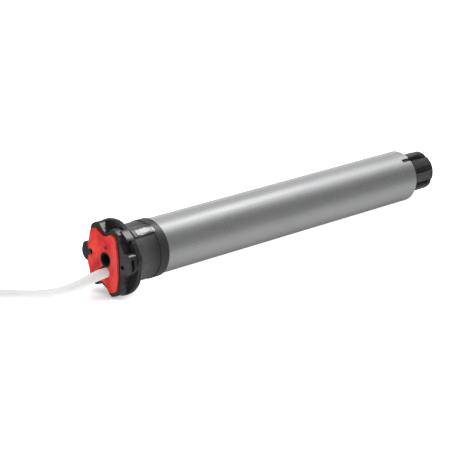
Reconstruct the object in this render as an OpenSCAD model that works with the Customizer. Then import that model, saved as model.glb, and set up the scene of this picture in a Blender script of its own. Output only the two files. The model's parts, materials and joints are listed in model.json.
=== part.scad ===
// Tubular roller blind motor, laid on its side with its cable coiled beside it.
// Frame: +X runs along the motor axis towards the output spindle, +Z is up.
// The origin is on the axis, in the plane of the front of the head.
// Two-dimensional shapes are drawn in the Y-Z plane and pushed along +X.

/* [Head] */
// Diameter of the head flange
flange_d = 61.5; // [60:0.5:63]
// Thickness of the head flange
flange_t = 3.6; // [3.4:0.1:4]
// Thickness of the red face plate
plate_t = 1.5; // [1.2:0.1:1.5]
// Diameter of the central stud bore
stud_d = 10; // [8:0.5:10]
// Diameter of the two bracket screw holes
fix_d = 3.6; // [3:0.1:4]
// Pitch circle of the two bracket screw holes
fix_pcd = 37; // [36.5:0.5:38]
// Diameter of the setting button
button_d = 3.6; // [3:0.1:3.8]

/* [Crown] */
// Outer diameter of the crown that drives in step with the roller tube
crown_d = 47.2; // [46.8:0.1:48]
// Height of the two crown keys above the crown
key_h = 1.3; // [0.8:0.1:1.6]

/* [Tube] */
// Outer diameter of the motor tube
tube_d = 45; // [45:0.1:46]
// Wall of the motor tube
tube_wall = 1.2; // [0.8:0.1:1.2]
// Length of the motor tube
tube_len = 290; // [288:0.1:330]

/* [Spindle] */
// Diameter over the lobes of the output spindle
spindle_d = 34; // [32:0.5:35]
// Diameter at the bottom of the grooves
spindle_root_d = 26.5; // [25:0.5:28]
// Number of lobes
spindle_lobes = 8; // [6:1:9]
// How far the spindle reaches past the tube
spindle_len = 32.6; // [28:0.1:33]

/* [Gearbox] */
// Module of the planetary gears
gear_m = 0.9; // [0.88:0.01:0.9]
// Play taken off each flank pair
gear_play = 0.14; // [0.1:0.01:0.16]

/* [Cable] */
// Outer diameter of the supply cable
cable_d = 8; // [7.4:0.1:8]
// Radius of the coil at the middle of its turns
coil_r = 47; // [46:1:47]

/* [Hidden] */
fn = 96;
flange_x1 = 12.3;
datum = 1.5;                    // the parts behind the head are drawn from this far in front of its face
flange_x0 = flange_x1 - flange_t;
flange_r = flange_d / 2;
tube_r = tube_d / 2;
tube_ri = tube_r - tube_wall;
tube_x0 = 47.6;                 // from the datum
tube_x1 = tube_x0 + tube_len;
dx = tube_len - 290;          // everything behind the electronics moves with the tube length
crown_r = crown_d / 2;
cable_r = cable_d / 2;
neck_r = 19.5;
gap = 0.05;                     // radial running clearance
button_travel = 1;

// angles in the front view: 0 to the right, counted anticlockwise, seen looking along +X
fix_a = [173, 353];
button_uv = [0.3, 9.8];
cable_uv = [0, -10.6];
star_uv = [-1.6, -0.7];         // the star is drawn about this point
screw_a = [90, 210, 330];
pinion_a = 30;
rivet_a = [140, 236];

// radius of the black star hub and of the red plate against the front-view angle
hub_tab = [[0, 23.5], [34, 24], [44, 25], [51, 27.2], [57, 28.4], [71, 28.4], [75, 27], [79, 24], [83, 22.3], [88, 21.8],
  [92, 22.3], [96, 23.8], [100, 26], [104, 28.6], [108, 29.9], [115, 30.4], [123, 30], [128, 28.5], [132, 26.6], [137, 24.8], [146, 23.4], [158, 23],
  [170, 22.2], [190, 22.2], [208, 22.4], [215, 23.6], [221, 25.8], [227, 27.2], [239, 27.2], [245, 25.2], [251, 22.6],
  [258, 20.6], [264, 20.2], [270, 21.4], [275, 25], [279, 28], [283, 29.5], [302, 29.5], [308, 28.2], [316, 26], [325, 24.2],
  [336, 23.5], [360, 23.5]];
plate_tab = [[0, 15.8], [10, 16], [20, 16.6], [30, 17.4], [40, 18.8], [48, 20.8], [54, 23], [60, 24.4], [69, 23.6], [74, 22],
  [80, 20.3], [86, 19.4], [92, 19.2], [98, 19.9], [103, 21.4], [107, 23.2], [111, 25.2], [117, 26.5], [128, 26.4], [133, 25.3],
  [138, 23.8], [145, 22.4], [152, 21.7], [160, 20.9], [166, 19.6], [172, 18.4], [178, 18.2], [184, 19], [192, 20.6], [200, 21.4],
  [208, 21.4], [215, 22.2], [221, 23.4], [228, 24], [236, 23.6], [242, 21.8], [249, 19.8], [257, 18.6], [264, 18.4], [270, 19.6],
  [275, 22], [280, 24.8], [284, 26.2], [299, 26.2], [304, 24.8], [309, 23], [315, 21.4], [321, 19.8], [329, 18.1], [338, 16.8],
  [348, 16], [360, 15.8]];

// planetary stages: sun 9, planets 15, fixed ring 39
z_sun = 9;
z_planet = 15;
z_ring = 39;
pa = 25;
r_orbit = gear_m * (z_sun + z_planet) / 2;
stage_a = [90, 210, 330];
s1 = [258 + dx, 267 + dx];      // planets of stage 1
s2 = [272.4 + dx, 281.4 + dx];  // planets of stage 2
s3 = [286.8 + dx, 300.8 + dx];  // planets of stage 3
pin_r = 1.6;

// the surface it lies on touches the flange and the far end of the tube
floor_z0 = -31.07;
floor_s = 0.0255;
function floor_z(x) = floor_z0 + floor_s * x;

// route of the cable from the head to the coil: it leaves along -X, comes down and lies on the surface
route = [[1, 0, -10.6], [-5.5, 0.1, -10.8], [-12.5, 0.6, -12], [-19.6, 1.9, -14], [-26.3, 4.6, -16.5], [-32.3, 9, -19.2], [-37.3, 14.9, -21.6],
  [-41, 21.8, -23.8], [-43.9, 29.4, -25.7], [-46.6, 37.1, -27.1], [-50, 44.4, -28], [-54.7, 51, -28.4], [-60.4, 57.1, -28.6],
  [-66.8, 62.8, -28.7], [-73.7, 68, -28.9], [-81.2, 73, -29.1], [-90.5, 78, -29.3], [-101, 82.5, -29.6], [-112.5, 86.5, -29.9], [-124.5, 90, -30.2]];
coil_c = [-157.5, 42];
coil_h = 24.8;

// ---------- helpers ----------
function polar(r, a) = [r * cos(a), r * sin(a)];
function seg(t, a, i = 0) = (i >= len(t) - 2 || a < t[i + 1][0]) ? i : seg(t, a, i + 1);
function eased(t, a) = let (i = seg(t, a), f = (a - t[i][0]) / (t[i + 1][0] - t[i][0]))
  t[i][1] + (t[i + 1][1] - t[i][1]) * (1 - cos(180 * f)) / 2;
function outline(t, grow = 0, da = 2) = [for (a = [0 : da : 360 - da]) polar(eased(t, a) + grow, a)];

// push a Y-Z shape along +X
module X(x0, x1) translate([x0, 0, 0]) rotate([90, 0, 90]) linear_extrude(height = x1 - x0) children();
// a shape drawn as seen from the front, where +Y is on the left
module front() mirror([1, 0]) children();
module back() translate([-datum, 0, 0]) children();
// turn [radius, x] points about the motor axis
module rev(pts, f = fn) rotate([90, 0, 90]) rotate_extrude($fn = f) polygon(pts);
module rod(x0, x1, r, p = [0, 0], f = 48) translate([x0, p[0], p[1]]) rotate([90, 0, 90]) cylinder(h = x1 - x0, r = r, $fn = f);
module washer(x0, x1, ro, ri, f = fn) difference() {
  rod(x0, x1, ro, f = f);
  rod(x0 - 1, x1 + 1, ri, f = f);
}
module radial(a, x, r0, r1, r) translate([x, 0, 0]) rotate([a, 0, 0]) translate([0, r0, 0]) rotate([-90, 0, 0]) cylinder(h = r1 - r0, r = r, $fn = 32);

// involute gear outline: half angle of a tooth at radius q
function inv(a) = tan(a) - a * PI / 180;
function half_a(z, m, play, q) = let (r = z * m / 2, al = acos(min(1, r * cos(pa) / q)))
  (PI / (2 * z) - play / (4 * r) * 2 + inv(pa) - inv(al)) * 180 / PI;
function gear(z, m, ra, rf, play, rot = 0, n = 4) = let (r0 = max(rf, z * m / 2 * cos(pa) + 0.001))
  [for (i = [0 : z - 1]) let (c = rot + i * 360 / z) each concat(
    rf < r0 - 0.01 ? [polar(rf, c - half_a(z, m, play, r0))] : [],
    [for (k = [0 : n]) let (q = r0 + (ra - r0) * k / n) polar(q, c - half_a(z, m, play, q))],
    [for (k = [n : -1 : 0]) let (q = r0 + (ra - r0) * k / n) polar(q, c + half_a(z, m, play, q))],
    rf < r0 - 0.01 ? [polar(rf, c + half_a(z, m, play, r0))] : [])];
function outer_gear(z, m, rot) = gear(z, m, z * m / 2 + 0.8 * m, z * m / 2 - m, gear_play, rot);
function inner_gear(z, m, rot) = gear(z, m, z * m / 2 + m, z * m / 2 - 0.8 * m, -gear_play, rot);

// a round tube swept through points
function unit(v) = v / norm(v);
function tangent(p, i) = unit(p[min(i + 1, len(p) - 1)] - p[max(i - 1, 0)]);
function side(t, ref) = unit(ref - (ref * t) * t);
module sweep(p, r, n = 10, ref = [0, 0, 1]) {
  k = len(p);
  pts = [for (i = [0 : k - 1]) let (t = tangent(p, i), u = side(t, ref), v = cross(t, u))
    each [for (j = [0 : n - 1]) p[i] + r * (cos(360 * j / n) * u + sin(360 * j / n) * v)]];
  faces = concat(
    [[for (j = [n - 1 : -1 : 0]) j]],
    [for (i = [0 : k - 2]) each [for (j = [0 : n - 1]) each [
      [i * n + j, i * n + (j + 1) % n, (i + 1) * n + (j + 1) % n],
      [i * n + j, (i + 1) * n + (j + 1) % n, (i + 1) * n + j]]]],
    [[for (j = [0 : n - 1]) (k - 1) * n + j]]);
  polyhedron(points = pts, faces = [for (f = faces) [for (q = [len(f) - 1 : -1 : 0]) f[q]]], convexity = 4);
}
// points between points of a route, by a smooth cubic through them
function cr(a, b, c, d, t) = 0.5 * ((2 * b) + (c - a) * t + (2 * a - 5 * b + 4 * c - d) * t * t + (3 * b - a - 3 * c + d) * t * t * t);
function dense(p, s) = concat([for (i = [0 : len(p) - 2]) each [for (k = [0 : s - 1])
  cr(p[max(i - 1, 0)], p[i], p[i + 1], p[min(i + 2, len(p) - 1)], k / s)]], [p[len(p) - 1]]);

// ---------- head ----------
module fixing_holes() for (a = fix_a) X(-1, 11.3) front() rotate(a) translate([fix_pcd / 2, 0]) circle(fix_d / 2, $fn = 40);
module cable_bore(r, x1) X(-1, x1) front() translate(cable_uv) circle(r, $fn = 48);
// rounded lugs around the two screw holes
module lugs() {
  hull() {
    translate([-23.1, 0.6]) circle(7.4, $fn = 64);
    translate([-25.8, 5.2]) circle(3.4, $fn = 40);
  }
  hull() {
    translate([20.6, -2.4]) circle(7, $fn = 64);
    translate([24.2, -0.6]) circle(4.6, $fn = 48);
    translate([23.8, 5]) circle(4.4, $fn = 48);
    translate([17, 6.5]) circle(2.6, $fn = 40);
  }
}
// the flange is flattened along one side
module flange_flat() X(flange_x0 - 1, flange_x1 + 1) front() for (f = [[53, 27.8], [31, 27.7], [-9, 28.5]]) rotate(f[0]) translate([f[1], -20]) square([10, 40]);
module head_body() color([0.07, 0.07, 0.075]) difference() {
  union() {
    X(plate_t, flange_x0 + 0.5) front() union() {
      translate(star_uv) polygon(outline(hub_tab));
      lugs();
    }
    X(0, plate_t + 1) circle(6.2, $fn = 64);
    difference() {
      rev([[0, flange_x0], [flange_r - 1, flange_x0], [flange_r, flange_x0 + 1], [flange_r, flange_x1 - 0.6], [flange_r - 0.6, flange_x1], [0, flange_x1]]);
      flange_flat();
    }
    rev([[0, flange_x0], [neck_r, flange_x0], [neck_r, 31.9], [neck_r - 0.6, 32.5], [0, 32.5]]);
    // flat pad on the flange rim beside the top lobe
    X(5.4, flange_x0 + 0.5) front() rotate(53) translate([20, -5.2]) square([7.8, 10.4]);
    // stiffening webs between the hub and the flange rim
    for (a = [148, 200, 212]) X(flange_x0 - 2.6, flange_x0 + 0.5) front() rotate(a) translate([17, -0.7]) square([11.8, 1.4]);
  }
  X(-1, 16.5) circle(stud_d / 2, $fn = 64);
  cable_bore(cable_r + 0.2, 19);
  fixing_holes();
  X(-1, 9.1) front() translate(button_uv) circle(button_d / 2 + gap, $fn = 40);
  // bayonet pockets in the sides of the two lugs
  X(2.7, 5) front() translate([24.8, -3.8]) square([6, 9.4]);
  X(3, 6) front() translate([-31, -1.8]) square([4.4, 7.6]);
  // wiring chamber
  difference() {
    X(18.5, 33.5) difference() {
      circle(16, $fn = fn);
      for (a = screw_a) rotate(a) translate([15.2, 0]) circle(2.9, $fn = 40);
    }
    // cable rest
    X(18.5, 24.5) difference() {
      translate([-6, -17]) square([12, 6.5]);
      front() translate(cable_uv) circle(cable_r, $fn = 48);
    }
  }
  for (a = screw_a) rod(23.5, 33.5, 1.25, polar(15.2, a), 32);
}
module face_plate() color([0.85, 0.2, 0.16]) difference() {
  X(0, plate_t) front() translate(star_uv) polygon(outline(plate_tab));
  X(-1, 3) circle(6.3, $fn = 64);
  // the cable's opening runs on to one side, so that the cable can lie flat against a bracket
  X(-1, 3) front() hull() {
    translate(cable_uv) circle(cable_r + 0.8, $fn = 48);
    translate([-7, -9.9]) circle(1.4, $fn = 32);
    translate([-0.8, -5.3]) circle(1.2, $fn = 32);
  }
  X(-1, 3) front() translate(button_uv) circle(button_d / 2 + gap, $fn = 40);
  for (a = fix_a) X(-1, 3) front() rotate(a) translate([fix_pcd / 2, 0]) circle(fix_d / 2 + 0.9, $fn = 40);
}
module setting_button() color([0.45, 0.05, 0.05]) translate([0, -button_uv[0], button_uv[1]])
  rev([[0, -0.4], [button_d / 2 - 0.5, -0.4], [button_d / 2, 0.1], [button_d / 2, 8], [0, 8]], 40);
module cable_lead_in() color([0.9, 0.9, 0.9]) rod(1, 25, cable_r, [-cable_uv[0], cable_uv[1]]);
module cable_clamp() color([0.2, 0.2, 0.22]) X(19.3, 23.7) difference() {
  translate([-5.7, -10.5]) square([11.4, 6]);
  front() translate(cable_uv) circle(cable_r, $fn = 48);
}

// ---------- free cable ----------
module power_cable() color([0.93, 0.93, 0.92]) sweep(dense(route, 3), cable_r, 10);
module on_floor() translate([coil_c[0], coil_c[1], floor_z(coil_c[0])]) rotate([0, -atan(floor_s), 0]) children();
module arc_bar(r, z, w, h, a0, a1) rotate([0, 0, a0]) rotate_extrude(angle = a1 - a0, $fn = fn) translate([r - w / 2, z]) square([w, h]);
coil_a = 75;                    // where the cable runs on to the coil, seen from its centre
module cable_coil() color([0.93, 0.93, 0.92]) on_floor() {
  rotate_extrude($fn = fn) polygon([[coil_r - 12, 0], [coil_r + 12, 0], [coil_r + 12, coil_h], [coil_r - 4, coil_h], [coil_r - 4, 16.8], [coil_r - 12, 16.8]]);
  // the last quarter turn
  arc_bar(coil_r - 7.6, 16, 8, coil_h - 16.2, coil_a + 160, coil_a + 250);
}
module cable_tie() color([0.12, 0.12, 0.13]) on_floor() rotate([0, 0, coil_a + 212]) translate([coil_r - 12.6, -3, 0]) difference() {
  cube([25.2, 6, coil_h + 0.6]);
  translate([1, -1, 0.9]) cube([23.2, 8, coil_h - 1.1]);
}
module core_arcs(r, a0, a1) for (c = [[-1.1, 17.9], [1.1, 17.9], [-1.1, 20.1], [1.1, 20.1]])
  rotate([0, 0, a0]) rotate_extrude(angle = a1 - a0, $fn = fn) translate([coil_r - 8 + c[0], c[1]]) circle(r, $fn = 20);
module cable_end_cores() color([0.3, 0.25, 0.6]) on_floor() core_arcs(1.05, coil_a + 250, coil_a + 322);
module end_ferrules() color([0.8, 0.8, 0.82]) on_floor() core_arcs(0.8, coil_a + 322, coil_a + 334);

// ---------- neck, crown and position sensing ----------
pinion_c = polar(14, pinion_a);
module rivet_holes(x, r = 1.6) for (a = rivet_a) radial(180 - a, x, 15, 30, r);
module neck_adaptor() back() color([0.16, 0.16, 0.17]) difference() {
  union() {
    rod(34, 48.4, 17.5, f = fn);
    rev([[0, tube_x0], [tube_ri - 0.1, tube_x0], [tube_ri - 0.1, 49.6], [19.8, 49.6], [19.8, 52], [tube_ri - 0.1, 52], [tube_ri - 0.1, 63.4], [tube_ri - 0.7, 64], [0, 64]]);
  }
  rod(33, 65, 7, f = 64);
  rod(51, 65, 18);
  for (a = screw_a) { rod(33, 52, 1.25, polar(15.2, a), 32); }
  difference() {
    union() {
      rod(36.6, 43.4, 6.3, pinion_c);
      rod(43.3, 47.4, 3.1, pinion_c);
    }
    rod(36, 47, 1.5, pinion_c);
  }
  rivet_holes(56);
}
module neck_screws() back() color([0.7, 0.7, 0.7]) for (a = screw_a) difference() {
  union() {
    rod(27, 51, 1.25, polar(15.2, a), 32);
    rod(51, 53, 2.4, polar(15.2, a), 32);
  }
  rod(52, 54, 1.2, polar(15.2, a), 6);
}
module neck_seal() back() color([0.1, 0.1, 0.1]) rotate([90, 0, 90]) translate([0, 0, 50.8]) rotate_extrude($fn = fn) translate([20.55, 0]) circle(0.75, $fn = 24);
module encoder_board() back() color([0.1, 0.4, 0.2]) difference() {
  X(55.4, 57) circle(18, $fn = fn);
  X(55, 58) circle(6.6, $fn = 48);
  rivet_holes(56, 3.2);
}
module encoder_pinion() back() color([0.92, 0.92, 0.9]) difference() {
  X(37, 43) translate(pinion_c) polygon(outer_gear(10, 1, pinion_a));
  rod(36, 44, 1.5 + gap, pinion_c);
}
module encoder_magnet() back() color([0.3, 0.3, 0.33]) difference() {
  rod(43, 46.4, 2.8, pinion_c);
  rod(42, 48, 1.6, pinion_c);
}
module crown_ring() back() color([0.22, 0.22, 0.23]) difference() {
  union() {
    rev([[neck_r + gap, 15.6], [crown_r - 1.3, 15.6], [crown_r - 0.5, 16.8], [crown_r - 0.5, 38.2], [crown_r, 38.2], [crown_r, 46.5],
      [crown_r - 0.6, 47.1], [neck_r + gap, 47.1]]);
    for (a = [0, 180]) X(18.4, 37.2) front() rotate(a) polygon(concat(
      [for (q = [48.5 : 2 : 76.5]) polar(crown_r - 0.5 + key_h * min(1, (76.5 - q) / 12), q)], [polar(21.6, 76.5), polar(21.6, 48.5)]));
  }
  X(35, 48) circle(21.2, $fn = fn);
}
module crown_gear() back() color([0.93, 0.93, 0.9]) difference() {
  rod(35, 46.9, 21.2, f = fn);
  rod(34, 37, 18.6, f = fn);
  X(36.6, 43.4) polygon(inner_gear(38, 1, pinion_a));
  rod(43, 48, 17.5 + gap, f = fn);
}

// ---------- motor tube ----------
slot_a = 53.5;                  // front-view angle of the first of the two end slots
module tube_slots(w = 3.3) for (a = [slot_a, slot_a + 180])
  X(tube_x1 - 9.2, tube_x1 + 1) front() rotate(a) translate([15, -w / 2]) square([10, w]);
module motor_tube() back() color([0.72, 0.73, 0.74]) difference() {
  washer(tube_x0, tube_x1, tube_r, tube_ri);
  tube_slots();
  rivet_holes(56);
  rivet_holes(tube_x1 - 18);
}
module tube_rivets() back() color([0.6, 0.6, 0.62]) for (x = [56, tube_x1 - 18], a = rivet_a) difference() {
  radial(180 - a, x, 18.4, tube_r + 0.35, 1.6);
  radial(180 - a, x, tube_r - 0.4, tube_r + 2, 0.7);
}

// ---------- electronics ----------
module board_carrier() back() color([0.85, 0.85, 0.82]) difference() {
  union() {
    X(66, 124) difference() {
      circle(21.1, $fn = fn);
      difference() {
        circle(19.8, $fn = fn);
        // ledges that carry the board
        for (m = [0, 1]) mirror([m, 0]) translate([17.2, 0.9]) square([3.4, 2.1]);
      }
      translate([-30, 6.4]) square([60, 30]);
    }
    // saddles under the capacitor
    for (x = [72, 108]) X(x, x + 2) difference() {
      intersection() {
        circle(20.4, $fn = fn);
        translate([-30, -30]) square([60, 21.6]);
      }
      translate([0, -8.4]) circle(9, $fn = fn);
    }
  }
  X(76, 114) translate([-6, -25]) square([12, 10]);
}
module control_board() back() color([0.08, 0.36, 0.2]) X(67, 123) translate([-19, 3]) square([38, 1.6]);
module board_parts() back() {
  color([0.85, 0.55, 0.1]) for (y = [-12.6, 1.6]) translate([78, y, 4.6]) cube([16, 11, 10.5]);
  color([0.1, 0.1, 0.1]) for (p = [[98, -14, 8, 6, 1.8], [97, -3, 7, 7, 1.6], [110, 7, 8, 6, 1.6]]) translate([p[0], p[1], 4.6]) cube([p[2], p[3], p[4]]);
  color([0.15, 0.2, 0.4]) for (p = [[101.5, 11.5], [112.5, -12]]) translate([p[0], p[1], 4.6]) cylinder(h = 9.5, r = 3.6, $fn = 40);
}
module terminal_block() back() color([0.15, 0.45, 0.2]) difference() {
  translate([67.5, -10, 4.6]) cube([8.5, 20, 10]);
  for (y = [-7.5, -2.5, 2.5, 7.5]) rod(66, 72, 1.4, [y, 8], 32);
  for (y = [-7.5, -2.5, 2.5, 7.5]) translate([72, y, 11]) cylinder(h = 5, r = 1.5, $fn = 32);
}
module filter_choke() back() color([0.7, 0.4, 0.15]) translate([111, -1.2, 6.5]) rotate_extrude($fn = 64) translate([4.3, 0]) circle(1.9, $fn = 32);
module run_capacitor() back() color([0.85, 0.85, 0.88]) translate([0, 0, -8.4]) rev([[0, 70], [8.2, 70], [9, 70.8], [9, 111.2], [8.2, 112], [6.6, 112], [6.6, 111.4], [0, 111.4]]);
supply_y = [2.5, -2.5, -7.5, 7.5];
module internal_leads() back() {
  color([0.35, 0.25, 0.15]) for (i = [0 : 3]) let (c = polar(2.2, 45 + 90 * i))
    sweep(dense([[26.7, c[0], -10.6 + c[1]], [28.8, c[0], -9.7 + c[1]], [31.3, c[0], -6.5 + c[1]], [34.4, c[0], -2.7 + c[1]],
      [39, c[0], -0.5 + c[1]], [46, c[0], c[1]], [56, 1.2 * c[0], 2 + 1.1 * c[1]], [62, supply_y[i] * 0.6 + 0.3 * c[0], 5.6 + 0.8 * c[1]], [66, supply_y[i], 8], [69, supply_y[i], 8]], 2), 0.85, 8);
  color([0.1, 0.2, 0.5]) for (i = [0 : 2]) let (y = -5 + 5 * i)
    sweep(dense([[119, y, 5.5], [121.5, y, 7], [123.4, y * 1.2, 11], [125.2, y * 1.45, 14.6], [128, y * 1.5, 15.6], [134, y * 1.5, 15.7], [136.8 + dx, y * 1.5, 15.6]], 2), 0.85, 8);
}

// ---------- motor ----------
module front_bell() back() color([0.75, 0.75, 0.76]) difference() {
  union() {
    washer(126 + dx, 129 + dx, 21.2, 5);
    washer(126 + dx, 134 + dx, 8, 5);
    washer(129 + dx, 136 + dx, 21.2, 19.4);
  }
  X(125 + dx, 130 + dx) translate([-9.5, 13]) square([19, 5]);
}
module rear_bell() back() color([0.75, 0.75, 0.76]) {
  washer(224 + dx, 227 + dx, 21.2, 5);
  washer(219 + dx, 227 + dx, 8, 5);
  washer(216 + dx, 224.5 + dx, 21.2, 19.4);
}
module rotor_bushes() back() color([0.72, 0.55, 0.3]) for (x = [126, 219]) washer(x + dx, x + 8 + dx, 5, 3 + gap, 64);
module slot2d(g = 0) {
  polygon([[12.7 + g, -1.6 + g], [18.2 - g, -2.9 + g], [18.2 - g, 2.9 - g], [12.7 + g, 1.6 - g]]);
}
module stator_core() back() color([0.45, 0.46, 0.48]) X(146 + dx, 206 + dx) difference() {
  circle(21.2, $fn = fn);
  circle(11.5, $fn = fn);
  for (i = [0 : 11]) rotate(i * 30) {
    slot2d();
    translate([11, -0.8]) square([2.2, 1.6]);
  }
}
module stator_windings() back() color([0.75, 0.38, 0.15]) {
  X(138 + dx, 214 + dx) for (i = [0 : 11]) rotate(i * 30) slot2d(0.25);
  for (x = [136.8, 206.3]) rev([[13, x + 1.5 + dx], [14.5, x + dx], [17.4, x + dx], [18.9, x + 1.5 + dx], [18.9, x + 7.4 + dx], [17.4, x + 8.9 + dx], [14.5, x + 8.9 + dx], [13, x + 7.4 + dx]]);
}
module rotor_core() back() color([0.6, 0.6, 0.62]) difference() {
  union() {
    rod(145 + dx, 207 + dx, 11.1, f = fn);
    for (x = [141, 207]) washer(x + dx, x + 4 + dx, 10.6, 6.5);
    rod(145 + dx, 207 + dx, 6.6);
  }
  rod(140 + dx, 212 + dx, 3);
}
module rotor_shaft() back() color([0.8, 0.8, 0.82]) rev([[0, 124.5 + dx], [2.5, 124.5 + dx], [3, 125 + dx], [3, 255 + dx], [1.5, 255 + dx], [1.5, 267 + dx], [0, 267 + dx]], 64);
module sun_gear() back() color([0.7, 0.7, 0.72]) difference() {
  X(256.4 + dx, 267 + dx) polygon(outer_gear(z_sun, gear_m, 90));
  rod(255 + dx, 268 + dx, 1.5);
}
module brake_disc() back() color([0.35, 0.3, 0.25]) {
  washer(247.5 + dx, 250.4 + dx, 17, 3);
  washer(247.5 + dx, 251.6 + dx, 5.4, 3, 64);
}
module brake_yoke() back() color([0.5, 0.5, 0.52]) difference() {
  rod(229 + dx, 244 + dx, 21, f = fn);
  rod(228 + dx, 245 + dx, 4);
  difference() {
    rod(231.5 + dx, 245 + dx, 18, f = fn);
    rod(231 + dx, 246 + dx, 9.8, f = 64);
  }
  rod(241.6 + dx, 245 + dx, 8.6, f = 64);
}
module brake_coil() back() color([0.75, 0.38, 0.15]) washer(231.5 + dx, 242 + dx, 17.8, 9.8);
module brake_spring() back() color([0.6, 0.6, 0.65]) rev([[4.6, 242.6 + dx], [8.4, 241.6 + dx], [8.4, 242.1 + dx], [4.6, 243.1 + dx]], 64);
module brake_armature() back() color([0.55, 0.55, 0.57]) difference() {
  washer(244.5 + dx, 247.4 + dx, 20.2, 4.4);
  for (a = [0, 120, 240]) X(243 + dx, 249 + dx) rotate(a) translate([18.4, -1.55]) square([4, 3.1]);
}

// ---------- gearbox ----------
module gearbox_cover() back() color([0.16, 0.16, 0.17]) {
  washer(250.5 + dx, 253 + dx, 21.2, 8);
  washer(252 + dx, 256 + dx, 21.2, 5.4);
  // guide keys of the brake armature
  for (a = [0, 120, 240]) X(244.05 + dx, 251 + dx) rotate(a) intersection() {
    translate([18.55, -1.45]) square([4, 2.9]);
    circle(21, $fn = fn);
  }
}
module ring_gear() back() color([0.16, 0.16, 0.17]) X(256 + dx, 307.6 + dx) difference() {
  circle(21.2, $fn = fn);
  polygon(inner_gear(z_ring, gear_m, 90));
}
module planet(s, a) difference() {
  X(s[0], s[1]) translate(polar(r_orbit, a)) polygon(outer_gear(z_planet, gear_m, a));
  rod(s[0] - 1, s[1] + 1, pin_r + gap, polar(r_orbit, a), 40);
}
module pins(s, x1) for (a = stage_a) rod(s[0] + 0.2, x1, pin_r, polar(r_orbit, a), 40);
module carrier(s, x1, sun_x1) {
  rod(s[1] + 0.6, x1, gear_m * z_ring / 2 - 0.8 * gear_m - 0.09, f = fn);
  pins(s, s[1] + 1);
  X(x1 - 0.5, sun_x1) polygon(outer_gear(z_sun, gear_m, 90));
}
module carrier_1() back() color([0.66, 0.66, 0.68]) carrier(s1, 271.2 + dx, 281.6 + dx);
module carrier_2() back() color([0.66, 0.66, 0.68]) carrier(s2, 285.6 + dx, 301 + dx);
module output_shaft() back() color([0.66, 0.66, 0.68]) difference() {
  union() {
    rod(301.4 + dx, 306.8 + dx, gear_m * z_ring / 2 - 0.8 * gear_m - 0.09, f = fn);
    pins(s3, 302 + dx);
    rod(306 + dx, tip_x - 0.8, 7, f = 64);
  }
  rod(tip_x - 12.8, tip_x, 2.1, f = 40);
  // groove of the retaining clip
  washer(tip_x - 3.4, tip_x - 2.2, 9, 6.2, 64);
}
module end_cap() back() color([0.1, 0.1, 0.105]) difference() {
  union() {
    washer(307.6 + dx, tube_x1, 21.2, 11);
    washer(307.6 + dx, tube_x1 + 0.8, 18.6, 11);
  }
  rivet_holes(tube_x1 - 18);
}
module output_bush() back() color([0.72, 0.55, 0.3]) washer(307.6 + dx, tube_x1, 11, 7 + gap, 64);
spin_a = 20.5;                    // front-view angle of one groove
tip_x = tube_x1 + spindle_len;
function lobe(a) = let (p = 360 / spindle_lobes, q = abs(((a - spin_a) % p + p + p / 2) % p - p / 2) / (p / 2))
  q < 0.22 ? spindle_root_d / 2 : q > 0.42 ? spindle_d / 2
  : spindle_root_d / 2 + (spindle_d - spindle_root_d) / 2 * (1 - cos(180 * (q - 0.22) / 0.2)) / 2;
module output_spindle() back() color([0.08, 0.08, 0.085]) difference() {
  union() {
    intersection() {
      X(tube_x1 + 1.2, tip_x) front() polygon([for (a = [0 : 2.5 : 357.5]) polar(lobe(a), a)]);
      rev([[0, tube_x1], [spindle_d / 2 + 0.5, tube_x1], [spindle_d / 2 + 0.5, tip_x - 5], [spindle_root_d / 2 + 0.1, tip_x], [0, tip_x]]);
    }
    rod(tube_x1 + 1.2, tube_x1 + 4, 15.4, f = fn);
  }
  rod(tube_x1 - 1, tip_x + 1, 7, f = 64);
  // recess around the clip
  rod(tip_x - 4, tip_x + 1, 9.6, f = 64);
}
module spindle_clip() back() color([0.75, 0.75, 0.76]) difference() {
  washer(tip_x - 3.4, tip_x - 2.2, 8.9, 6.2, 64);
  X(tip_x - 4, tip_x - 2) translate([-2.2, -12]) square([4.4, 8]);
}

module planet_1a() back() color([0.9, 0.9, 0.86]) planet(s1, 90);
module planet_1b() back() color([0.9, 0.9, 0.86]) planet(s1, 210);
module planet_1c() back() color([0.9, 0.9, 0.86]) planet(s1, 330);
module planet_2a() back() color([0.7, 0.7, 0.72]) planet(s2, 90);
module planet_2b() back() color([0.7, 0.7, 0.72]) planet(s2, 210);
module planet_2c() back() color([0.7, 0.7, 0.72]) planet(s2, 330);
module planet_3a() back() color([0.7, 0.7, 0.72]) planet(s3, 90);
module planet_3b() back() color([0.7, 0.7, 0.72]) planet(s3, 210);
module planet_3c() back() color([0.7, 0.7, 0.72]) planet(s3, 330);

head_body();
face_plate();
setting_button();
cable_lead_in();
cable_clamp();
power_cable();
cable_coil();
cable_tie();
cable_end_cores();
end_ferrules();
neck_adaptor();
neck_screws();
neck_seal();
encoder_board();
encoder_pinion();
encoder_magnet();
crown_ring();
crown_gear();
motor_tube();
tube_rivets();
board_carrier();
control_board();
board_parts();
terminal_block();
filter_choke();
run_capacitor();
internal_leads();
front_bell();
rear_bell();
rotor_bushes();
stator_core();
stator_windings();
rotor_core();
rotor_shaft();
sun_gear();
brake_disc();
brake_yoke();
brake_coil();
brake_spring();
brake_armature();
gearbox_cover();
ring_gear();
planet_1a();
planet_1b();
planet_1c();
carrier_1();
planet_2a();
planet_2b();
planet_2c();
carrier_2();
planet_3a();
planet_3b();
planet_3c();
output_shaft();
end_cap();
output_bush();
output_spindle();
spindle_clip();
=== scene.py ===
import json
import math

import bmesh
import bpy
import numpy as np
from mathutils import Matrix, Vector


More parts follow.
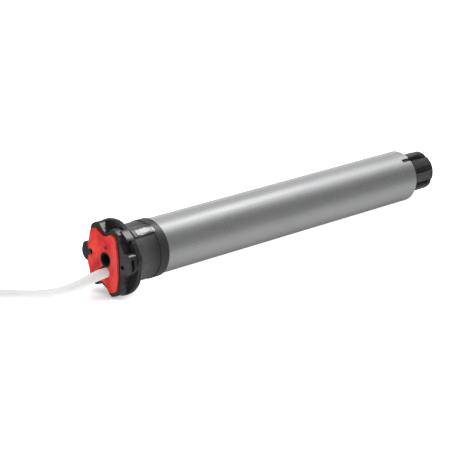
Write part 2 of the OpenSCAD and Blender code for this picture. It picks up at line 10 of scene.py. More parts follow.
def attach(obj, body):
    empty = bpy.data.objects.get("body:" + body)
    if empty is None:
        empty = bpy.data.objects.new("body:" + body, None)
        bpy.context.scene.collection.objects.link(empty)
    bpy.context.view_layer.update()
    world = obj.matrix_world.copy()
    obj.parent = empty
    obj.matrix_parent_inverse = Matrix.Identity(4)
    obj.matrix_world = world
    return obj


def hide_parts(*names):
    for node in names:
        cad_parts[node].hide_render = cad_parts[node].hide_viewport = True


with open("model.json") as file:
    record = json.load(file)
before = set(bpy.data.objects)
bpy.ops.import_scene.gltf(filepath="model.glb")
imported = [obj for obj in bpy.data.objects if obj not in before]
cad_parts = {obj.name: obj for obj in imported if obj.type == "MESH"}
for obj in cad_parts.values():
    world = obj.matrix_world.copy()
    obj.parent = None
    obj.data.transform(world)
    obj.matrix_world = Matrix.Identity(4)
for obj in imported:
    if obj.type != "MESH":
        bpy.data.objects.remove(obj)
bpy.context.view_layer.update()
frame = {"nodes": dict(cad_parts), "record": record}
NODES = frame["nodes"]
scene = bpy.context.scene
MM = 0.001

# ---------------------------------------------------------------- camera
AZ, EL = math.radians(-43.2), math.radians(17.85)
RIGHT = Vector((math.cos(AZ), math.sin(AZ), 0))
BACK = Vector((math.sin(AZ) * math.cos(EL), -math.cos(AZ) * math.cos(EL), math.sin(EL)))
UP = BACK.cross(RIGHT)
cam = bpy.data.objects.new("camera", bpy.data.cameras.new("camera"))
scene.collection.objects.link(cam)
cam.data.sensor_width = 36.0
cam.data.lens = 146.7
cam.data.clip_start, cam.data.clip_end = 0.05, 60.0
cam.matrix_world = Matrix.Translation((-0.85041, -1.04112, 0.4592)) @ Matrix((RIGHT, UP, BACK)).transposed().to_4x4()
scene.camera = cam

# the surface that the motor lies on touches its flange and the far end of its tube
FLOOR_Z0, FLOOR_S = -31.07, 0.0255
FLOOR_A = math.atan(FLOOR_S)


def floor_z(x):
    return FLOOR_Z0 + FLOOR_S * x


# ---------------------------------------------------------------- small geometry helpers
def link(name, mesh):
    o = bpy.data.objects.new(name, mesh)
    scene.collection.objects.link(o)
    return o


def catmull(points, step):
    """Points about step apart on a smooth curve through points."""
    p = [np.array(q, float) for q in points]
    out = []
    for i in range(len(p) - 1):
        a, b, c, d = p[max(i - 1, 0)], p[i], p[i + 1], p[min(i + 2, len(p) - 1)]
        n = max(2, int(round(np.linalg.norm(c - b) / step)))
        for k in range(n):
            t = k / n
            out.append(0.5 * (2 * b + (c - a) * t + (2 * a - 5 * b + 4 * c - d) * t * t + (3 * b - a - 3 * c + d) * t**3))
    out.append(p[-1])
    return out


def smooth(t):
    t = min(max(t, 0.0), 1.0)
    return t * t * (3 - 2 * t)


def sweep(name, path, profile, closed=False, ref=(0, 0, 1), caps=True):
    """A mesh with profile [(a, b), ...] swept along path; a is along ref, b across it. profile may be a function of the index."""
    pts = [Vector(q) for q in path]
    n = len(pts)
    bm = bmesh.new()
    rings = []
    ref = Vector(ref)
    for i, p in enumerate(pts):
        if closed:
            t = (pts[(i + 1) % n] - pts[i - 1]).normalized()
        else:
            t = (pts[min(i + 1, n - 1)] - pts[max(i - 1, 0)]).normalized()
        r = ref(i) if callable(ref) else ref
        u = (r - r.dot(t) * t).normalized()
        v = t.cross(u)
        prof = profile(i) if callable(profile) else profile
        rings.append([bm.verts.new(p + a * u + b * v) for a, b in prof])
    m = len(rings[0])
    for i in range(n if closed else n - 1):
        a, b = rings[i], rings[(i + 1) % n]
        for j in range(m):
            bm.faces.new((a[j], a[(j + 1) % m], b[(j + 1) % m], b[j]))
    if caps and not closed:
        bm.faces.new(list(reversed(rings[0])))
        bm.faces.new(rings[-1])
    bmesh.ops.recalc_face_normals(bm, faces=bm.faces)
    mesh = bpy.data.meshes.new(name)
    bm.to_mesh(mesh)
    bm.free()
    return link(name, mesh)


def round_profile(r, n=16):
    return [(r * math.cos(2 * math.pi * k / n), r * math.sin(2 * math.pi * k / n)) for k in range(n)]


def shade(o, angle=32):
    """Smooth faces that meet at less than angle, as a moulded or turned surface looks."""
    me = o.data
    me.polygons.foreach_set("use_smooth", [True] * len(me.polygons))
    me.set_sharp_from_angle(angle=math.radians(angle))
    me.update()


def bevel(o, width, segments=2, angle=32):
    m = o.modifiers.new("soft_edges", "BEVEL")
    m.width = width
    m.segments = segments
    m.limit_method = "ANGLE"
    m.angle_limit = math.radians(angle)
    m.use_clamp_overlap = True
    m.harden_normals = False
    m.miter_outer = "MITER_ARC"
    return m


# ---------------------------------------------------------------- materials
def srgb(r, g, b):
    return tuple(((c / 255) / 12.92 if c / 255 <= 0.04045 else (((c / 255) + 0.055) / 1.055) ** 2.4) for c in (r, g, b)) + (1.0,)


class Mat:
    """A Principled material built up from procedural layers in object space."""

    def __init__(self, name, metallic=0.0, ior=1.5, coat=0.0, coat_rough=0.1, spec=0.5):
        self.m = bpy.data.materials.new(name)
        self.m.use_nodes = True
        self.t = self.m.node_tree
        self.b = self.t.nodes["Principled BSDF"]
        self.b.inputs["Metallic"].default_value = metallic
        self.b.inputs["IOR"].default_value = ior
        self.b.inputs["Specular IOR Level"].default_value = spec
        self.b.inputs["Coat Weight"].default_value = coat
        self.b.inputs["Coat Roughness"].default_value = coat_rough
        self.co = self.t.nodes.new("ShaderNodeTexCoord")
        self.height = None

    def n(self, kind, **inputs):
        node = self.t.nodes.new(kind)
        for k, v in inputs.items():
            node.inputs[k.replace("_", " ")].default_value = v
        return node

    def mapped(self, scale, rot=(0, 0, 0)):
        m = self.t.nodes.new("ShaderNodeMapping")
        m.inputs["Scale"].default_value = scale
        m.inputs["Rotation"].default_value = rot
        self.t.links.new(self.co.outputs["Object"], m.inputs["Vector"])
        return m.outputs["Vector"]

    def noise(self, scale, detail=4.0, rough=0.55, distortion=0.0):
        """scale: a number in 1/m, or three of them."""
        n = self.t.nodes.new("ShaderNodeTexNoise")
        n.inputs["Scale"].default_value = 1.0
        n.inputs["Detail"].default_value = detail
        n.inputs["Roughness"].default_value = rough
        n.inputs["Distortion"].default_value = distortion
        s = scale if isinstance(scale, tuple) else (scale, scale, scale)
        self.t.links.new(self.mapped(s), n.inputs["Vector"])
        return n.outputs["Fac"]

    def voronoi(self, scale):
        n = self.t.nodes.new("ShaderNodeTexVoronoi")
        n.inputs["Scale"].default_value = 1.0
        s = scale if isinstance(scale, tuple) else (scale, scale, scale)
        self.t.links.new(self.mapped(s), n.inputs["Vector"])
        return n.outputs["Distance"]

    def ramp(self, fac, stops, interpolation="LINEAR"):
        r = self.t.nodes.new("ShaderNodeValToRGB")
        r.color_ramp.interpolation = interpolation
        e = r.color_ramp.elements
        while len(e) < len(stops):
            e.new(0.5)
        for el, (pos, col) in zip(e, stops):
            el.position = pos
            el.color = col if len(col) == 4 else (*col, 1.0)
        self.t.links.new(fac, r.inputs["Fac"])
        return r.outputs["Color"]

    def span(self, fac, lo, hi, a=0.3, b=0.7):
        m = self.t.nodes.new("ShaderNodeMapRange")
        m.inputs["From Min"].default_value = a
        m.inputs["From Max"].default_value = b
        m.inputs["To Min"].default_value = lo
        m.inputs["To Max"].default_value = hi
        self.t.links.new(fac, m.inputs["Value"])
        return m.outputs["Result"]

    def math(self, op, a, b):
        m = self.t.nodes.new("ShaderNodeMath")
        m.operation = op
        for i, v in enumerate((a, b)):
            if isinstance(v, (int, float)):
                m.inputs[i].default_value = v
            else:
                self.t.links.new(v, m.inputs[i])
        return m.outputs[0]

    def mix(self, fac, a, b, mode="MIX"):
        m = self.t.nodes.new("ShaderNodeMix")
        m.data_type = "RGBA"
        m.blend_type = mode
        for sock, v in ((m.inputs[0], fac), (m.inputs[6], a), (m.inputs[7], b)):
            if isinstance(v, (int, float)):
                sock.default_value = v
            elif isinstance(v, tuple):
                sock.default_value = v if len(v) == 4 else (*v, 1.0)
            else:
                self.t.links.new(v, sock)
        return m.outputs[2]

    def axis(self, which):
        s = self.t.nodes.new("ShaderNodeSeparateXYZ")
        self.t.links.new(self.co.outputs["Object"], s.inputs[0])
        return s.outputs[which]

    def color(self, out):
        if isinstance(out, tuple):
            self.b.inputs["Base Color"].default_value = out
        else:
            self.t.links.new(out, self.b.inputs["Base Color"])

    def rough(self, out):
        if isinstance(out, (int, float)):
            self.b.inputs["Roughness"].default_value = out
        else:
            self.t.links.new(out, self.b.inputs["Roughness"])

    def metallic(self, out):
        self.t.links.new(out, self.b.inputs["Metallic"])

    def bump(self, out, distance, strength=1.0):
        """Adds a height layer; distance is its depth in metres."""
        m = self.t.nodes.new("ShaderNodeBump")
        m.inputs["Strength"].default_value = strength
        m.inputs["Distance"].default_value = distance
        self.t.links.new(out, m.inputs["Height"])
        if self.height is not None:
            self.t.links.new(self.height, m.inputs["Normal"])
        self.height = m.outputs["Normal"]
        self.t.links.new(self.height, self.b.inputs["Normal"])


def tone(c, f):
    return tuple(min(1.0, x * f) for x in c[:3]) + (1.0,)


def plastic(name, col, rough, grain=0.00002, spread=0.08, gloss_var=0.05, scale=2600, coat=0.0, spec=0.5):
    """Moulded plastic: faint flow marks, uneven gloss and a fine eroded grain."""
    m = Mat(name, coat=coat, spec=spec)
    flow = m.noise((60, 90, 90), 3, 0.5, 0.6)
    m.color(m.ramp(flow, [(0.3, tone(col, 1 - spread)), (0.7, tone(col, 1 + spread))]))
    m.rough(m.span(m.noise(180, 4), rough - gloss_var, rough + gloss_var))
    m.bump(m.noise(scale, 3, 0.6), grain)
    return m.m


def metal(name, col, rough, brush=None, grain=0.000006, spread=0.05, rvar=0.06, spec=0.5):
    """Turned, drawn or cast metal; brush gives the scale of its grain along X, Y and Z."""
    m = Mat(name, metallic=1.0, spec=spec)
    m.color(m.ramp(m.noise(70, 4, 0.6, 0.4), [(0.3, tone(col, 1 - spread)), (0.7, tone(col, 1 + spread))]))
    lines = m.noise(brush or (900, 900, 900), 4, 0.6)
    m.rough(m.span(lines, rough - rvar, rough + rvar))
    m.bump(lines, grain)
    return m.m


M = {}
# black moulded head: glossy, with the faint haze that handling leaves
h = Mat("black_gloss", spec=0.5)
h.color(h.ramp(h.noise((50, 80, 80), 4, 0.6, 0.5), [(0.3, (0.0125, 0.0125, 0.0135)), (0.72, (0.022, 0.022, 0.0235))]))
# the flat on the rim is scuffed dull towards both of its ends
hs = h.math("ADD", h.math("MULTIPLY", h.axis("Y"), 0.8), h.math("MULTIPLY", h.axis("Z"), 0.6))
hd = h.math("ADD", h.math("MULTIPLY", h.axis("Y"), -0.6), h.math("MULTIPLY", h.axis("Z"), 0.8))
ends = h.math("MAXIMUM", h.math("MULTIPLY", h.span(hs, 0.0, 1.0, 0.002, 0.0055), h.span(hs, 1.0, 0.0, 0.0135, 0.015)), h.span(hs, 1.0, 0.0, -0.005, -0.002))
scuff = h.math("MULTIPLY", ends, h.span(hd, 0.0, 1.0, 0.0262, 0.0272))
h.rough(h.math("ADD", h.span(h.noise(140, 5, 0.6), 0.11, 0.2), h.math("MULTIPLY", scuff, 0.6)))
h.bump(h.noise(2400, 3, 0.5), 0.000012)
h.bump(h.noise(160, 2, 0.5), 0.00006, 0.5)
M["black_gloss"] = h.m
# red plate: satin, blotched at random with deeper and more orange reds; its side towards -Y is painted lighter and
# paler, a painted sheen
r = Mat("red_plate", spec=0.45)
r_blot = r.ramp(r.noise((60, 105, 105), 3, 0.5, 0.6), [(0.33, srgb(172, 6, 10)), (0.5, srgb(204, 24, 20)), (0.68, srgb(222, 56, 24))])
# painted sheen: towards -Y the blotched red is mixed with a paler, lighter red
r.color(r.mix(r.span(r.axis("Y"), 0.75, 0.0, -0.0115, -0.0065), r_blot, srgb(198, 62, 60)))
r.rough(r.span(r.noise(170, 4), 0.3, 0.44))
r.bump(r.noise(2600, 3, 0.55), 0.00002)
r.bump(r.noise(220, 2, 0.5), 0.00005, 0.4)
M["red_plate"] = r.m
M["button_red"] = plastic("button_red", srgb(110, 18, 20), 0.36, grain=0.00001)
# white PVC sheath: faint waves along it and a soft satin skin
w = Mat("cable_white", spec=0.45)
w.color(w.ramp(w.noise((30, 30, 30), 4, 0.6, 0.5), [(0.3, srgb(212, 212, 211)), (0.7, srgb(226, 226, 225))]))
w.rough(w.span(w.noise(220, 4), 0.36, 0.5))
w.bump(w.noise(3000, 2, 0.5), 0.00001)
w.bump(w.noise(90, 2, 0.5), 0.00012, 0.6)
M["cable_white"] = w.m
# crown: satin dark grey with a mottle, painted lighter at its flange end and darker towards the tube (painted sheen and
# painted shade); its two raised keys are polished by the mould, and a little wavy
c = Mat("crown_grey", spec=0.5)
c_mott = c.ramp(c.noise((420, 420, 420), 4, 0.6), [(0.32, (0.86, 0.86, 0.86)), (0.68, (1.14, 1.14, 1.14))])
# painted sheen and painted shade: the grey runs from lighter near the flange (X 21 mm) to darker towards the tube (X 34
# mm)
c.color(c.mix(1.0, c_mott, c.mix(c.span(c.axis("X"), 0.0, 1.0, 0.021, 0.034), srgb(72, 72, 73), srgb(43, 43, 44)), "MULTIPLY"))
cy = c.math("ABSOLUTE", c.math("ADD", c.math("MULTIPLY", c.axis("Y"), 0.887), c.math("MULTIPLY", c.axis("Z"), 0.462)), 0.0)
on_key = c.math("MULTIPLY", c.span(cy, 1.0, 0.0, 0.0055, 0.0062), c.math("MULTIPLY", c.span(c.axis("X"), 0.0, 1.0, 0.0195, 0.0203), c.span(c.axis("X"), 1.0, 0.0, 0.0385, 0.039)))
c.rough(c.math("SUBTRACT", c.span(c.noise(160, 4), 0.36, 0.46), c.math("MULTIPLY", on_key, 0.26)))
c.bump(c.noise(2200, 3, 0.6), 0.000025)
c.bump(c.math("MULTIPLY", on_key, c.noise((140, 190, 190), 2, 0.5)), 0.00045, 1.0)
M["crown_grey"] = c.m
# tube: satin silver, drawn lengthways, with a faint mottle
t = Mat("tube_satin", metallic=1.0)
mott = t.noise((18, 60, 60), 5, 0.6, 0.3)
t.color(t.ramp(mott, [(0.3, (0.70, 0.705, 0.715)), (0.7, (0.76, 0.765, 0.77))]))
drawn = t.noise((26, 1500, 1500), 5, 0.62)
t.rough(t.math("ADD", t.span(drawn, 0.24, 0.34), t.span(mott, -0.02, 0.03)))
t.bump(drawn, 0.000006)
t.bump(t.noise((7, 40, 40), 2, 0.5), 0.00012, 0.5)
M["tube_satin"] = t.m
M["dark_nylon"] = plastic("dark_nylon", srgb(44, 44, 46), 0.5)
k = Mat("black_plastic", spec=0.5)
k.color(k.ramp(k.noise((190, 260, 260), 4, 0.6, 0.4), [(0.34, srgb(36, 36, 37)), (0.66, srgb(64, 64, 65))]))
k.rough(k.span(k.noise(240, 4), 0.3, 0.46))
k.bump(k.noise(2400, 3, 0.6), 0.00002)
k.bump(k.noise(260, 2, 0.5), 0.00012, 0.6)
M["black_plastic"] = k.m
M["tie_black"] = plastic("tie_black", srgb(24, 24, 25), 0.42)
M["core_insulation"] = plastic("core_insulation", srgb(94, 62, 44), 0.4)
M["natural_nylon"] = plastic("natural_nylon", srgb(230, 228, 218), 0.45)
M["seal_rubber"] = plastic("seal_rubber", srgb(18, 18, 18), 0.7)
M["board_green"] = plastic("board_green", srgb(24, 92, 52), 0.3, grain=0.000008)
M["parts_mixed"] = plastic("parts_mixed", srgb(60, 58, 56), 0.4)
M["terminal_green"] = plastic("terminal_green", srgb(38, 118, 58), 0.45)
M["can_white"] = plastic("can_white", srgb(222, 222, 226), 0.4)
M["friction_lining"] = plastic("friction_lining", srgb(84, 74, 62), 0.8, grain=0.00006, spread=0.25, scale=1400)
M["magnet_grey"] = metal("magnet_grey", (0.22, 0.22, 0.24), 0.5)
M["tinned_copper"] = metal("tinned_copper", (0.78, 0.78, 0.78), 0.32)
M["zinc_steel"] = metal("zinc_steel", (0.66, 0.67, 0.69), 0.3, spread=0.1)
M["copper_wire"] = metal("copper_wire", (0.65, 0.26, 0.1), 0.35, brush=(1400, 1400, 1400), grain=0.00003)
M["cast_zinc"] = metal("cast_zinc", (0.6, 0.6, 0.61), 0.45, grain=0.00002)
M["sintered_bronze"] = metal("sintered_bronze", (0.55, 0.36, 0.17), 0.42, grain=0.00002)
M["core_steel"] = metal("core_steel", (0.36, 0.37, 0.38), 0.42, brush=(2000, 60, 60), grain=0.00002)
M["machined_steel"] = metal("machined_steel", (0.6, 0.6, 0.61), 0.28, brush=(1800, 120, 120))

slot_of = {s["node"]: s["material_slot"] for s in frame["record"]["subparts"]}
for name, o in NODES.items():
    o.data.materials.clear()
    o.data.materials.append(M[slot_of[name]])

# ---------------------------------------------------------------- CAD nodes that show: softened edges and smooth turns
for name, width in (
    ("head_body", 0.00035),
    ("face_plate", 0.0003),
    ("setting_button", 0.0003),
    ("crown_ring", 0.0003),
    ("motor_tube", 0.00015),
    ("end_cap", 0.0003),
    ("output_spindle", 0.0005),
    ("output_shaft", 0.0003),
):
    bevel(NODES[name], width)
for o in NODES.values():
    shade(o)

# ---------------------------------------------------------------- the supply cable
CABLE_R = 4.0
ROUTE = [
    (1, 0, -10.6), (-5.5, 0.1, -10.8), (-12.5, 0.6, -12), (-19.6, 1.9, -14), (-26.3, 4.6, -16.5), (-32.3, 9, -19.2), (-37.3, 14.9, -21.6),
    (-41, 21.8, -23.8), (-43.9, 29.4, -25.7), (-46.6, 37.1, -27.1), (-50, 44.4, -28), (-54.7, 51, -28.4), (-60.4, 57.1, -28.6),
    (-66.8, 62.8, -28.7), (-73.7, 68, -28.9), (-81.2, 73, -29.1), (-90.5, 78, -29.3), (-101, 82.5, -29.6), (-112.5, 86.5, -29.9),
    (-124.5, 90, -30.2),
]
COIL_C = (-157.5, 42.0)
COIL_R = 47.0
COIL_A = 75.0
FLOOR_FRAME = Matrix.Translation((COIL_C[0], COIL_C[1], floor_z(COIL_C[0]))) @ Matrix.Rotation(-FLOOR_A, 4, "Y")


def on_coil(theta, r, z):
    """A point of the coil in mm: theta in degrees from its centre, z above the floor."""
    a = math.radians(theta)
    return np.array(FLOOR_FRAME @ Vector((r * math.cos(a), r * math.sin(a), z)))


def eased_steps(theta, start, steps):
    """start, changed by each (from, to, amount) as theta passes it."""
    v = start
    for a, b, d in steps:
        v += d * smooth((theta - a) / (b - a))
    return v


# turns side by side and in three layers, each change of turn in a sector where nothing else crosses
R_STEPS = [(310, 360, -8.1), (670, 720, -8.1), (1290, 1340, 8.1), (1650, 1700, 8.1), (2270, 2320, -8.1), (2630, 2680, -8.1)]
Z_STEPS = [(980, 1030, 8.15), (1960, 2010, 8.15)]
R_STEPS = [(COIL_A + a, COIL_A + b, d) for a, b, d in R_STEPS]
Z_STEPS = [(COIL_A + a, COIL_A + b, d) for a, b, d in Z_STEPS]
THETA_END = COIL_A + 2770
coil_line = []
theta = COIL_A
while theta <= THETA_END:
    coil_line.append(on_coil(theta, eased_steps(theta, COIL_R + 8.1, R_STEPS), eased_steps(theta, 4.1, Z_STEPS)))
    theta += 3.5
leg = [q for q in ROUTE if q[0] > -120] + [tuple(coil_line[0]), tuple(coil_line[4])]
line = catmull(leg, 2.5)
cut = min(range(len(line)), key=lambda i: np.linalg.norm(line[i] - coil_line[0]))
line = [q * MM for q in line[:cut] + coil_line]

cd = bpy.data.curves.new("supply_cable", "CURVE")
cd.dimensions = "3D"
sp = cd.splines.new("POLY")
sp.points.add(len(line) - 1)
for p, q in zip(sp.points, line):
    p.co = (*q, 1.0)
cd.bevel_depth = CABLE_R * MM
cd.bevel_resolution = 7
cd.use_fill_caps = True
cd.materials.append(M["cable_white"])
cable = link("supply_cable", cd)
for s in cd.splines:
    s.use_smooth = True

# stripped cores past the end of the sheath, fanned out a little and lying on the layer below, with crimped ferrules
CORE_COLS = (("brown", (86, 44, 26)), ("black", (22, 22, 23)), ("blue", (34, 84, 160)), ("green_yellow", (60, 130, 50)))
core_pieces = []
END_R = eased_steps(THETA_END, COIL_R + 8.1, R_STEPS)
END_Z = eased_steps(THETA_END, 4.1, Z_STEPS)
for k, (cname, rgb) in enumerate(CORE_COLS):
    du, dz = ((-1, -1), (1, -1), (-1, 1), (1, 1))[k]
    if cname == "green_yellow":
        gy = Mat("core_green_yellow")
        swirl = gy.t.nodes.new("ShaderNodeTexWave")
        swirl.inputs["Scale"].default_value = 160.0
        swirl.inputs["Distortion"].default_value = 0.0
        gy.t.links.new(gy.co.outputs["Object"], swirl.inputs["Vector"])
        gy.color(gy.ramp(swirl.outputs["Fac"], [(0.48, srgb(40, 130, 60)), (0.52, srgb(226, 206, 40))]))
        gy.rough(gy.span(gy.noise(200, 3), 0.34, 0.44))
        gy.bump(gy.noise(2500, 2), 0.00001)
        cm = gy.m
    else:
        cm = plastic("core_" + cname, srgb(*rgb), 0.38)
    pts = []
    for i in range(41):
        f = i / 40
        th = THETA_END - 6 + f * 76
        s = smooth(f / 0.28)
        fan = 0.35 * smooth((f - 0.3) / 0.7)
        rr = END_R + du * (1.15 + (0.1 + fan) * s + 0.35 * f * (k % 2))
        zz = END_Z + dz * 1.15 + (19.0 - 1.0 - END_Z) * s + 0.5 * (1 if dz > 0 else 0) * s * 0.2
        pts.append(on_coil(th, rr, zz) * MM)
    core = sweep("core_" + cname, pts, round_profile(1.0 * MM, 14))
    core.data.materials.append(cm)
    shade(core, 50)
    # ferrule: a short insulating collar's flare, then the crimped square barrel
    fp = []
    rad = []
    last = THETA_END - 6 + 76
    for i in range(15):
        f = i / 14
        th = last - 1.2 + f * 12.5
        rr = END_R + du * (1.6 + 0.35 * (k % 2))
        zz = END_Z + dz * 1.15 + (18.0 - END_Z) + 0.1 * (1 if dz > 0 else 0)
        fp.append(on_coil(th, rr, zz) * MM)
        rad.append(1.28 - 0.35 * smooth((f - 0.08) / 0.16) - (0.1 * (0.5 - 0.5 * math.cos(f * 34)) if 0.3 < f < 0.9 else 0))

    def ferrule_ring(i, rad=rad):
        q = 0.55 if 0.3 < i / 14 < 0.93 else 0.0
        out = []
        for j in range(16):
            a = 2 * math.pi * j / 16
            sq = 1 / max(abs(math.cos(a)), abs(math.sin(a)))
            rj = rad[i] * MM * ((1 - q) + q * 0.88 * sq)
            out.append((rj * math.cos(a), rj * math.sin(a)))
        return out

    fer = sweep("ferrule_" + cname, fp, ferrule_ring)
    fer.data.materials.append(M["tinned_copper"])
    shade(fer, 40)
    core_pieces += [core, fer]

# the tie: a strap round the coil, with its lock and a cut tail
TIE_A = COIL_A + 212 + math.degrees(3 / COIL_R)


def tie_path():
    r0, r1, z0, z1, c = COIL_R - 12.75, COIL_R + 12.75, 0.25, 25.05, 4.4
    corners = [(r1 - c, z0 + c, -90), (r1 - c, z1 - c, 0), (r0 + c, z1 - c, 90), (r0 + c, z0 + c, 180)]
    out = []
    for cr_, cz_, a0 in corners:
        for i in range(9):
            a = math.radians(a0 + 90 * i / 8)
            out.append((cr_ + c * math.cos(a), cz_ + c * math.sin(a)))
    dense = []
    for i, p in enumerate(out):
        q = out[(i + 1) % len(out)]
        n = max(1, int(math.hypot(q[0] - p[0], q[1] - p[1]) / 1.2))
        dense += [(p[0] + (q[0] - p[0]) * k / n, p[1] + (q[1] - p[1]) * k / n) for k in range(n)]
    return dense


def tie_point(rz):
    return on_coil(TIE_A, rz[0], rz[1]) * MM


_a = math.radians(TIE_A)
tie_across = (FLOOR_FRAME.to_3x3() @ Vector((-math.sin(_a), math.cos(_a), 0))).normalized()
loop = [tie_point(q) for q in tie_path()]
strap = sweep("tie_strap", loop, [(-2.4 * MM, -0.42 * MM), (2.4 * MM, -0.42 * MM), (2.4 * MM, 0.42 * MM), (-2.4 * MM, 0.42 * MM)], closed=True, ref=tie_across)
strap.data.materials.append(M["tie_black"])
bevel(strap, 0.00025, 2)
shade(strap, 40)


def tie_lock():
    """The lock's block with the slot that the strap runs through, on the outer side of the coil."""
    bm = bmesh.new()
    bmesh.ops.create_cube(bm, size=1.0)
    bmesh.ops.scale(bm, vec=(5.2 * MM, 7.2 * MM, 5.6 * MM), verts=bm.verts)
    top = [f for f in bm.faces if f.normal.z > 0.9]
    res = bmesh.ops.inset_region(bm, faces=top, thickness=0.9 * MM)
    for f in top:
        for v in f.verts:
            v.co.z -= 1.6 * MM
    side = [f for f in bm.faces if f.normal.x > 0.9]
    bmesh.ops.inset_region(bm, faces=side, thickness=1.0 * MM)
    for f in side:
        for v in f.verts:
            v.co.x -= 0.5 * MM
    mesh = bpy.data.meshes.new("tie_lock")
    bm.to_mesh(mesh)
    bm.free()
    o = link("tie_lock", mesh)
    out = (FLOOR_FRAME.to_3x3() @ Vector((math.cos(_a), math.sin(_a), 0))).normalized()
    upv = out.cross(tie_across).normalized()
    if upv.z < 0:
        upv = -upv
    rot = Matrix((out, upv.cross(out), upv)).transposed()
    o.matrix_world = Matrix.Translation(Vector(tie_point((COIL_R + 14.0, 17.5)))) @ rot.to_4x4()
    bevel(o, 0.0004, 2)
    shade(o, 35)
    o.data.materials.append(M["tie_black"])
    return o, out, upv


lock, out_dir, up_dir = tie_lock()
tail_pts = []
for i in range(13):
    f = i / 12
    tail_pts.append(Vector(tie_point((COIL_R + 13.6 + 3.2 * f * f, 19.8 + 8.0 * f - 1.6 * f * f))))
tail = sweep("tie_tail", tail_pts, [(-2.3 * MM, -0.4 * MM), (2.3 * MM, -0.4 * MM), (2.3 * MM, 0.4 * MM), (-2.3 * MM, 0.4 * MM)], ref=tie_across)
tail.data.materials.append(M["tie_black"])
bevel(tail, 0.0002, 2)
shade(tail, 40)
tie_parts = [strap, lock, tail]

for o in [cable, *core_pieces, *tie_parts]:
    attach(o, "housing")
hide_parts("power_cable", "cable_coil")
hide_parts("cable_end_cores")
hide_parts("end_ferrules")
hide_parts("cable_tie")

# ---------------------------------------------------------------- floor, light
bm = bmesh.new()
S = 9.0
for x, y in ((-S, -S), (S, -S), (S, S), (-S, S)):
    bm.verts.new((x, y, (FLOOR_Z0 * MM) + FLOOR_S * x))
bm.faces.new(bm.verts)
fm = bpy.data.meshes.new("floor")
bm.to_mesh(fm)
bm.free()
floor = link("floor", fm)
fmat = bpy.data.materials.new("floor_glow_painted_shade")
fmat.use_nodes = True
fb = fmat.node_tree.nodes["Principled BSDF"]
fb.inputs["Base Color"].default_value = (0.9, 0.9, 0.9, 1)
fb.inputs["Roughness"].default_value = 0.85
fb.inputs["Specular IOR Level"].default_value = 0.1
fb.inputs["Emission Color"].default_value = (1, 1, 1, 1)
ft = fmat.node_tree
# painted shade: the floor glows strongly everywhere so that shadows on it wash out, and dimly within about 35 mm of the
# head so that a contact shadow shows there
fco = ft.nodes.new("ShaderNodeTexCoord")
fmap = ft.nodes.new("ShaderNodeMapping")
fmap.inputs["Location"].default_value = (-0.05, -0.31, 0.0)
fmap.inputs["Scale"].default_value = (26.0, 26.0, 0.0)
ft.links.new(fco.outputs["Object"], fmap.inputs["Vector"])
fgr = ft.nodes.new("ShaderNodeTexGradient")
fgr.gradient_type = "SPHERICAL"
ft.links.new(fmap.outputs["Vector"], fgr.inputs["Vector"])
frm = ft.nodes.new("ShaderNodeMapRange")
frm.interpolation_type = "SMOOTHSTEP"
frm.inputs["From Min"].default_value = 0.1
frm.inputs["From Max"].default_value = 0.75
frm.inputs["To Min"].default_value = 0.95
frm.inputs["To Max"].default_value = 0.25
ft.links.new(fgr.outputs["Fac"], frm.inputs["Value"])
ft.links.new(frm.outputs["Result"], fb.inputs["Emission Strength"])
floor.data.materials.append(fmat)
floor.visible_glossy = False

# a studio of long panels that run beside the motor: brightness against the angle round the motor axis,
# 0 towards the camera's side, 90 overhead, 180 away from the camera's side
PANELS = [
    (-180, 0.45), (-157, 0.30), (-112, 0.23), (-84, 0.38), (-70, 0.42), (-45, 0.46), (-24, 0.40), (-8, 0.26), (12, 0.22),
    (30, 0.20), (44, 0.24), (56, 0.33), (63, 0.44), (72, 0.76), (84, 0.96), (94, 0.98), (104, 0.84), (118, 0.56), (140, 0.52),
    (158, 0.62), (168, 0.85), (180, 0.9),
]
world = bpy.data.worlds.new("studio")
scene.world = world
world.use_nodes = True
wt = world.node_tree
bg = wt.nodes["Background"]
tc = wt.nodes.new("ShaderNodeTexCoord")
sep = wt.nodes.new("ShaderNodeSeparateXYZ")
wt.links.new(tc.outputs["Generated"], sep.inputs[0])
neg = wt.nodes.new("ShaderNodeMath")
neg.operation = "MULTIPLY"
neg.inputs[1].default_value = -1.0
wt.links.new(sep.outputs[1], neg.inputs[0])
ang = wt.nodes.new("ShaderNodeMath")
ang.operation = "ARCTAN2"
wt.links.new(sep.outputs[2], ang.inputs[0])
wt.links.new(neg.outputs[0], ang.inputs[1])
mr = wt.nodes.new("ShaderNodeMapRange")
mr.inputs["From Min"].default_value = -math.pi
mr.inputs["From Max"].default_value = math.pi
wt.links.new(ang.outputs[0], mr.inputs["Value"])
ramp = wt.nodes.new("ShaderNodeValToRGB")
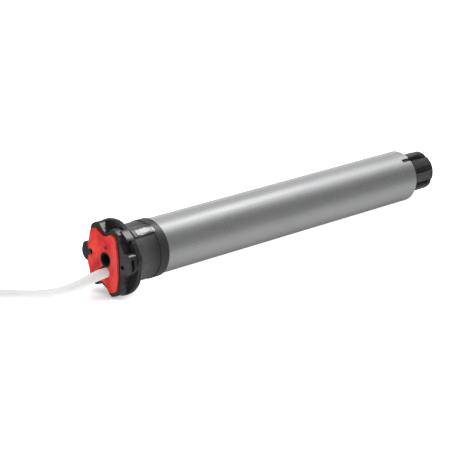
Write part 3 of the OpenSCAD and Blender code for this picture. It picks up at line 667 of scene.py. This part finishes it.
wt.links.new(mr.outputs["Result"], ramp.inputs["Fac"])
el = ramp.color_ramp.elements
while len(el) < len(PANELS):
    el.new(0.5)
for e, (a, v) in zip(el, PANELS):
    e.position = (a + 180) / 360
    e.color = (v, v, v, 1)
# past the edge of the floor the backdrop itself is plain white
ray = wt.nodes.new("ShaderNodeLightPath")
plain = wt.nodes.new("ShaderNodeMix")
plain.data_type = "RGBA"
plain.inputs[7].default_value = (1, 1, 1, 1)
wt.links.new(ray.outputs["Is Camera Ray"], plain.inputs[0])
wt.links.new(ramp.outputs["Color"], plain.inputs[6])
wt.links.new(plain.outputs[2], bg.inputs["Color"])
bg.inputs["Strength"].default_value = 1.0


def softbox(name, loc, target, size, power, color=(1, 1, 1), glossy=True):
    l = bpy.data.lights.new(name, "AREA")
    l.shape = "RECTANGLE"
    l.size, l.size_y = size
    l.energy = power
    l.color = color
    o = bpy.data.objects.new(name, l)
    scene.collection.objects.link(o)
    o.location = loc
    o.rotation_euler = (Vector(target) - Vector(loc)).to_track_quat("-Z", "Y").to_euler()
    o.visible_glossy = glossy
    return o


softbox("overhead", (0.1, 0.1, 1.9), (0.1, 0.05, 0), (2.6, 2.2), 26, glossy=False)
softbox("front_left", (-1.5, 0.4, 1.0), (0.0, 0.0, 0), (0.9, 0.7), 5, glossy=False)
# small lamps close by, one each for the gloss of the moulded head, of the crown's polished keys and of the tube
for lname, nodes, loc, size, power in (
    ("head_gloss", ("head_body",), (0.236, -0.04, 0.285), (0.19, 0.19), 0.62),
    ("key_gloss", ("crown_ring",), (0.25, -0.004, 0.3), (0.1, 0.1), 0.42),
    ("tube_gloss", ("motor_tube",), (0.5, 0.02, 0.48), (0.17, 0.17), 0.04),
):
    lamp = softbox(lname, loc, (0.1 if lname == "tube_gloss" else 0.015, -0.015, 0.024), size, power)
    lit = bpy.data.collections.new(lname)
    for nm in nodes:
        lit.objects.link(NODES[nm])
    lamp.light_linking.receiver_collection = lit

scene.view_settings.view_transform = "Standard"
scene.view_settings.look = "None"
